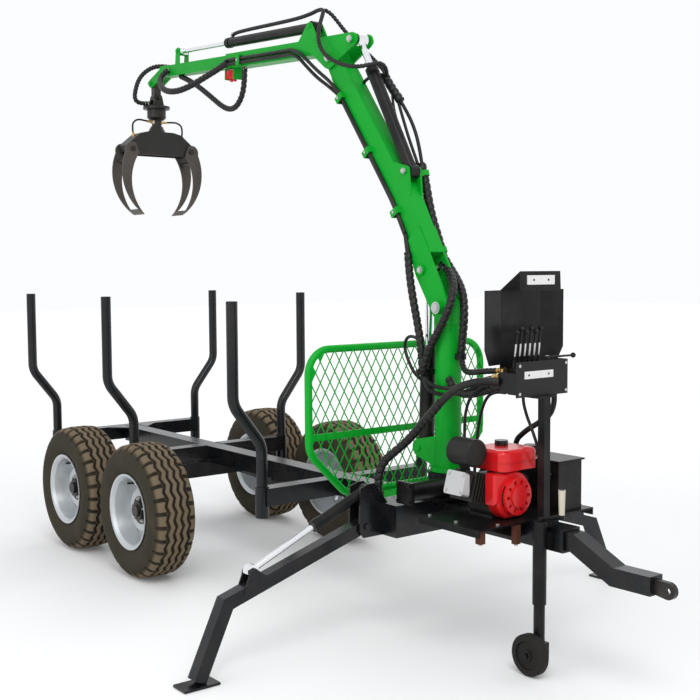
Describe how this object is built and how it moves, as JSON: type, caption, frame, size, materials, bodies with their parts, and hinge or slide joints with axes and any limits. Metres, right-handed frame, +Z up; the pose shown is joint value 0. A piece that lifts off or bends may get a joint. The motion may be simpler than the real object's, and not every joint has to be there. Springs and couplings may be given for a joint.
{
  "type": "log trailer with crane",
  "caption": "Timber trailer on a four-wheel bogie with staked bunks, mesh headboard, folding stabiliser legs and a hydraulic loader crane with a rotating log grapple",
  "frame": {"origin": "on the ground under the middle of the trailer's length and width, standing on its wheels, legs and jack", "axes": "+X forward to the tow eye, +Y left, +Z up"},
  "size_m": [4.67, 2.818, 3.1528],
  "materials": {
    "black_paint": "satin",
    "black_plastic": "matte",
    "bright_steel": "polished",
    "cast_alloy": "cast",
    "dark_steel": "satin",
    "green_paint": "gloss",
    "hose_rubber": "matte",
    "red_paint": "gloss",
    "silver_paint": "satin",
    "tyre_rubber": "matte"
  },
  "bodies": {
    "chassis": {"air_cleaner": "black_plastic", "axle_beam": "black_paint", "bogie_left": "black_paint", "bogie_right": "black_paint", "bunk_rear": "black_paint", "bunks": "black_paint", "drawbar": "black_paint", "engine_block": "cast_alloy", "engine_deck": "black_paint", "fan_cover": "red_paint", "fuel_tank": "red_paint", "headboard_frame": "green_paint", "headboard_mesh": "green_paint", "jack_tube": "black_paint", "lever_shield": "black_paint", "muffler": "dark_steel", "oil_tank": "black_paint", "pump": "dark_steel", "slew_housing": "black_paint", "spine_beam": "black_paint", "stabiliser_beam": "black_paint", "stakes": "black_paint", "stand_hoses": "hose_rubber", "tow_eye": "black_paint", "valve_block": "dark_steel", "valve_post": "black_paint"},
    "column": {"column": "green_paint"},
    "lift_barrel": {"lift_barrel": "black_paint"},
    "lift_rod": {"lift_rod": "bright_steel"},
    "boom": {"boom": "green_paint", "boom_hoses": "hose_rubber"},
    "jib_barrel": {"jib_barrel": "black_paint"},
    "jib_rod": {"jib_rod": "bright_steel"},
    "jib": {"jib": "green_paint", "tele_barrel": "black_paint", "jib_hoses": "hose_rubber", "diverter_valve": "red_paint"},
    "extension": {"extension": "green_paint", "tele_rod": "bright_steel"},
    "link": {"link": "dark_steel"},
    "rotator": {"rotator": "dark_steel"},
    "grapple": {"grapple_head": "dark_steel"},
    "tine_left": {"tine_left": "dark_steel"},
    "tine_right": {"tine_right": "dark_steel"},
    "jack_stem": {"jack_stem": "black_paint"},
    "jockey_wheel": {"jockey_wheel": "tyre_rubber"},
    "leg_right": {"stabiliser_leg_right": "black_paint"},
    "leg_barrel_right": {"leg_barrel_right": "black_paint"},
    "leg_rod_right": {"leg_rod_right": "bright_steel"},
    "wheel_rear_right": {"tyre_rear_right": "tyre_rubber", "rim_rear_right": "silver_paint"},
    "wheel_front_right": {"tyre_front_right": "tyre_rubber", "rim_front_right": "silver_paint"},
    "leg_left": {"stabiliser_leg_left": "black_paint"},
    "leg_barrel_left": {"leg_barrel_left": "black_paint"},
    "leg_rod_left": {"leg_rod_left": "bright_steel"},
    "wheel_rear_left": {"tyre_rear_left": "tyre_rubber", "rim_rear_left": "silver_paint"},
    "wheel_front_left": {"tyre_front_left": "tyre_rubber", "rim_front_left": "silver_paint"}
  },
  "joints": [
    {"name": "wheel_rear_right_spin", "type": "hinge", "parent": "chassis", "child": "wheel_rear_right", "pos_m": [-1.569, -0.69, 0.38], "axis": [0, 1, 0], "continuous": true},
    {"name": "wheel_rear_left_spin", "type": "hinge", "parent": "chassis", "child": "wheel_rear_left", "pos_m": [-1.569, 0.69, 0.38], "axis": [0, 1, 0], "continuous": true},
    {"name": "wheel_front_right_spin", "type": "hinge", "parent": "chassis", "child": "wheel_front_right", "pos_m": [-0.721, -0.69, 0.38], "axis": [0, 1, 0], "continuous": true},
    {"name": "wheel_front_left_spin", "type": "hinge", "parent": "chassis", "child": "wheel_front_left", "pos_m": [-0.721, 0.69, 0.38], "axis": [0, 1, 0], "continuous": true},
    {"name": "slew", "type": "hinge", "parent": "chassis", "child": "column", "pos_m": [1.04, 0, 0.772], "axis": [0, 0, 1], "range_deg": [-135, 135]},
    {"name": "boom_lift", "type": "hinge", "parent": "column", "child": "boom", "pos_m": [1.04, 0, 1.551], "axis": [0, 1, 0], "range_deg": [-35, 5]},
    {"name": "lift_barrel_swing", "type": "hinge", "parent": "column", "child": "lift_barrel", "pos_m": [0.885, 0, 0.868], "axis": [0, 1, 0], "range_deg": [-6.06, 0.87]},
    {"name": "lift_rod_slide", "type": "slide", "parent": "lift_barrel", "child": "lift_rod", "axis": [0.0349, 0, 0.9994], "range_m": [-0.1005, 0.01444]},
    {"name": "jib_fold", "type": "hinge", "parent": "boom", "child": "jib", "pos_m": [0.188, 0, 2.834], "axis": [0, -1, 0], "range_deg": [-40, 80]},
    {"name": "jib_barrel_swing", "type": "hinge", "parent": "boom", "child": "jib_barrel", "pos_m": [0.779, 0, 2.208], "axis": [0, -1, 0], "range_deg": [-1.18, 2.34]},
    {"name": "jib_rod_slide", "type": "slide", "parent": "jib_barrel", "child": "jib_rod", "axis": [-0.4957, 0, 0.8685], "range_m": [-0.12271, 0.24533]},
    {"name": "jib_retract", "type": "slide", "parent": "jib", "child": "extension", "axis": [0.9979, 0, -0.0645], "range_m": [-0.2, 0.48]},
    {"name": "link_swing", "type": "hinge", "parent": "extension", "child": "link", "pos_m": [-1.79853, 0, 2.96747], "axis": [0, 1, 0], "range_deg": [-60, 60]},
    {"name": "link_sway", "type": "hinge", "parent": "link", "child": "rotator", "pos_m": [-1.79853, 0, 2.87547], "axis": [1, 0, 0], "range_deg": [-40, 40]},
    {"name": "rotator_turn", "type": "hinge", "parent": "rotator", "child": "grapple", "pos_m": [-1.79853, 0, 2.7], "axis": [0, 0, 1], "continuous": true},
    {"name": "tine_left_open", "type": "hinge", "parent": "grapple", "child": "tine_left", "pos_m": [-1.79853, 0.215, 2.525], "axis": [1, 0, 0], "range_deg": [-16, 45]},
    {"name": "tine_right_open", "type": "hinge", "parent": "grapple", "child": "tine_right", "pos_m": [-1.79853, -0.215, 2.525], "axis": [-1, 0, 0], "range_deg": [-16, 45]},
    {"name": "leg_right_raise", "type": "hinge", "parent": "chassis", "child": "leg_right", "pos_m": [0.925, -0.44, 0.55], "axis": [-1, 0, 0], "range_deg": [-6, 90]},
    {"name": "leg_barrel_right_swing", "type": "hinge", "parent": "chassis", "child": "leg_barrel_right", "pos_m": [0.925, -0.42, 0.712], "axis": [-1, 0, 0], "range_deg": [-6.5, 97.31]},
    {"name": "leg_rod_right_slide", "type": "slide", "parent": "leg_barrel_right", "child": "leg_rod_right", "axis": [0, -0.9197, -0.3927], "range_m": [-0.21947, 0.01472]},
    {"name": "leg_left_raise", "type": "hinge", "parent": "chassis", "child": "leg_left", "pos_m": [0.925, 0.44, 0.55], "axis": [1, 0, 0], "range_deg": [-6, 90]},
    {"name": "leg_barrel_left_swing", "type": "hinge", "parent": "chassis", "child": "leg_barrel_left", "pos_m": [0.925, 0.42, 0.712], "axis": [1, 0, 0], "range_deg": [-6.5, 97.31]},
    {"name": "leg_rod_left_slide", "type": "slide", "parent": "leg_barrel_left", "child": "leg_rod_left", "axis": [0, 0.9197, -0.3927], "range_m": [-0.21947, 0.01472]},
    {"name": "jack_raise", "type": "slide", "parent": "chassis", "child": "jack_stem", "axis": [0, 0, 1], "range_m": [-0.05, 0.16]},
    {"name": "jockey_spin", "type": "hinge", "parent": "jack_stem", "child": "jockey_wheel", "pos_m": [1.715, -0.1535, 0.09], "axis": [0, 1, 0], "continuous": true}
  ],
  "couplings": [
    {"joint": "lift_barrel_swing", "follows": "boom_lift", "ratio": 0.17286},
    {"joint": "lift_rod_slide", "follows": "boom_lift", "m_per_rad": 0.16435},
    {"joint": "jib_barrel_swing", "follows": "jib_fold", "ratio": 0.02916},
    {"joint": "jib_rod_slide", "follows": "jib_fold", "m_per_rad": 0.17563},
    {"joint": "tine_right_open", "follows": "tine_left_open", "ratio": 1},
    {"joint": "leg_barrel_right_swing", "follows": "leg_right_raise", "ratio": 1.0811},
    {"joint": "leg_rod_right_slide", "follows": "leg_right_raise", "m_per_rad": -0.13966},
    {"joint": "leg_barrel_left_swing", "follows": "leg_left_raise", "ratio": 1.0811},
    {"joint": "leg_rod_left_slide", "follows": "leg_left_raise", "m_per_rad": -0.13966}
  ]
}
